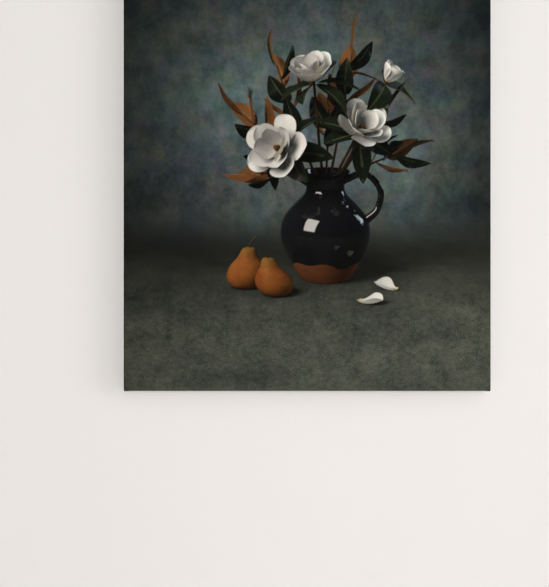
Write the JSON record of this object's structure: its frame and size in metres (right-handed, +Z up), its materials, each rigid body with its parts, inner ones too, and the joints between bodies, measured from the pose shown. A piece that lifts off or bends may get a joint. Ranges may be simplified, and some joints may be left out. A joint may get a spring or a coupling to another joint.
{
  "type": "stretched canvas wall picture",
  "caption": "Frameless wall picture: printed canvas wrapped round a mitred pine stretcher frame with a brace, corner keys, stapled edges and a toothed hanger.",
  "frame": {"origin": "the hanging point: the middle notch of the toothed hanger, on the plane of the wall", "axes": "+X to the right as the picture is looked at, +Y into the wall, +Z up"},
  "size_m": [0.6, 0.0419, 0.8012],
  "materials": {
    "print": "satin",
    "pine": "matte",
    "beech": "matte",
    "zinc": "satin",
    "rubber": "matte"
  },
  "bodies": {
    "root": {"bar_bottom": "pine", "bar_left": "pine", "bar_right": "pine", "bar_top": "pine", "brace": "pine", "bumper_left_1": "rubber", "bumper_left_2": "rubber", "bumper_right_1": "rubber", "bumper_right_2": "rubber", "canvas": "print", "hanger": "zinc", "hanger_screw_1": "zinc", "hanger_screw_2": "zinc", "key_bottom_1": "beech", "key_bottom_2": "beech", "key_left_1": "beech", "key_left_2": "beech", "key_right_1": "beech", "key_right_2": "beech", "key_top_1": "beech", "key_top_2": "beech", "staple_bottom_1": "zinc", "staple_bottom_2": "zinc", "staple_bottom_3": "zinc", "staple_bottom_4": "zinc", "staple_bottom_5": "zinc", "staple_bottom_6": "zinc", "staple_bottom_7": "zinc", "staple_bottom_8": "zinc", "staple_bottom_9": "zinc", "staple_left_1": "zinc", "staple_left_10": "zinc", "staple_left_2": "zinc", "staple_left_3": "zinc", "staple_left_4": "zinc", "staple_left_5": "zinc", "staple_left_6": "zinc", "staple_left_7": "zinc", "staple_left_8": "zinc", "staple_left_9": "zinc", "staple_right_1": "zinc", "staple_right_10": "zinc", "staple_right_2": "zinc", "staple_right_3": "zinc", "staple_right_4": "zinc", "staple_right_5": "zinc", "staple_right_6": "zinc", "staple_right_7": "zinc", "staple_right_8": "zinc", "staple_right_9": "zinc", "staple_top_1": "zinc", "staple_top_2": "zinc", "staple_top_3": "zinc", "staple_top_4": "zinc", "staple_top_5": "zinc", "staple_top_6": "zinc", "staple_top_7": "zinc", "staple_top_8": "zinc", "staple_top_9": "zinc"}
  },
  "joints": []
}
